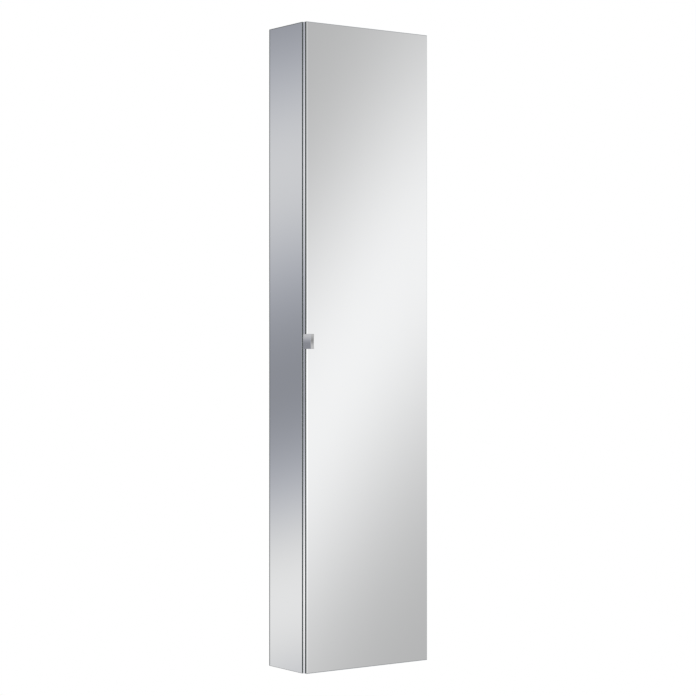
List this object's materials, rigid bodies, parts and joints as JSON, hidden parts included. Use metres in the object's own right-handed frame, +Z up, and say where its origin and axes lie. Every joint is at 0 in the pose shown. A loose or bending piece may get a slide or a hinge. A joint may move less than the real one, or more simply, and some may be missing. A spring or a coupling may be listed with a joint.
{
  "type": "tall mirror cabinet",
  "caption": "Tall narrow wall-hung cabinet with mirrored sides, a full-height mirrored door on concealed hinges, a small tab handle and glass shelves inside.",
  "frame": {"origin": "midway between the wall rail's two screw holes, on the wall plane", "axes": "+Z up along the height, +Y towards the wall (shortest extent), +X to the right"},
  "size_m": [0.4005, 0.197, 1.7],
  "materials": {
    "white_board": "melamine-faced particle board, satin",
    "back_panel": "thin board with a white face, satin",
    "mirror": "silvered float glass with polished edges",
    "shelf_glass": "clear float glass with polished green edges",
    "nickel_steel": "nickel-plated, bright",
    "die_cast": "zinc die casting, satin",
    "beech": "plain beech",
    "core_board": "plain fibre board",
    "zinc_steel": "zinc-plated, satin",
    "hinge_nickel": "nickel-plated, bright",
    "white_plastic": "moulded, satin",
    "grey_plastic": "moulded, matt",
    "dark_plastic": "moulded, matt",
    "seal_rubber": "soft lip strip, matt",
    "clear_rubber": "translucent dots",
    "edge_aluminium": "bright anodised",
    "handle_chrome": "polished chrome on a zinc casting"
  },
  "bodies": {
    "cabinet": {"side_board_left": "white_board", "side_board_right": "white_board", "top_board": "white_board", "bottom_board": "white_board", "back_panel": "back_panel", "side_mirror_left": "mirror", "side_mirror_right": "mirror", "glass_shelf_1": "shelf_glass", "glass_shelf_2": "shelf_glass", "glass_shelf_3": "shelf_glass", "glass_shelf_4": "shelf_glass", "glass_shelf_5": "shelf_glass", "shelf_supports": "nickel_steel", "cam_discs": "die_cast", "cam_bolts": "nickel_steel", "wood_dowels": "beech", "hanger_body_left": "zinc_steel", "hanger_body_right": "zinc_steel", "hanger_hook_left": "zinc_steel", "hanger_hook_right": "zinc_steel", "hanger_cover_left": "white_plastic", "hanger_cover_right": "white_plastic", "hanger_screws": "nickel_steel", "wall_rail": "zinc_steel", "wall_spacers": "dark_plastic", "dust_seal": "seal_rubber", "hinge_plate_1": "hinge_nickel", "hinge_plate_2": "hinge_nickel", "hinge_plate_3": "hinge_nickel", "hinge_plate_4": "hinge_nickel", "hinge_arm_1": "hinge_nickel", "hinge_arm_2": "hinge_nickel", "hinge_arm_3": "hinge_nickel", "hinge_arm_4": "hinge_nickel", "hinge_plate_screws": "nickel_steel", "hinge_arm_screws": "nickel_steel"},
    "door": {"door_mirror": "mirror", "door_inner_mirror": "mirror", "door_core": "core_board", "door_edge_left": "edge_aluminium", "door_edge_right": "edge_aluminium", "door_edge_top": "edge_aluminium", "door_edge_bottom": "edge_aluminium", "mirror_gasket": "seal_rubber", "corner_keys": "zinc_steel", "hinge_insert_1": "grey_plastic", "hinge_insert_2": "grey_plastic", "hinge_insert_3": "grey_plastic", "hinge_insert_4": "grey_plastic", "hinge_cup_1": "hinge_nickel", "hinge_cup_2": "hinge_nickel", "hinge_cup_3": "hinge_nickel", "hinge_cup_4": "hinge_nickel", "hinge_pins": "nickel_steel", "hinge_cup_screws": "nickel_steel", "door_handle": "handle_chrome", "handle_screws": "nickel_steel", "door_bumpers": "clear_rubber"}
  },
  "joints": [
    {"name": "door_swing", "type": "hinge", "parent": "cabinet", "child": "door", "pos_m": [0.192, -0.167, -0.775], "axis": [0, 0, 1], "range_deg": [0, 100]}
  ]
}
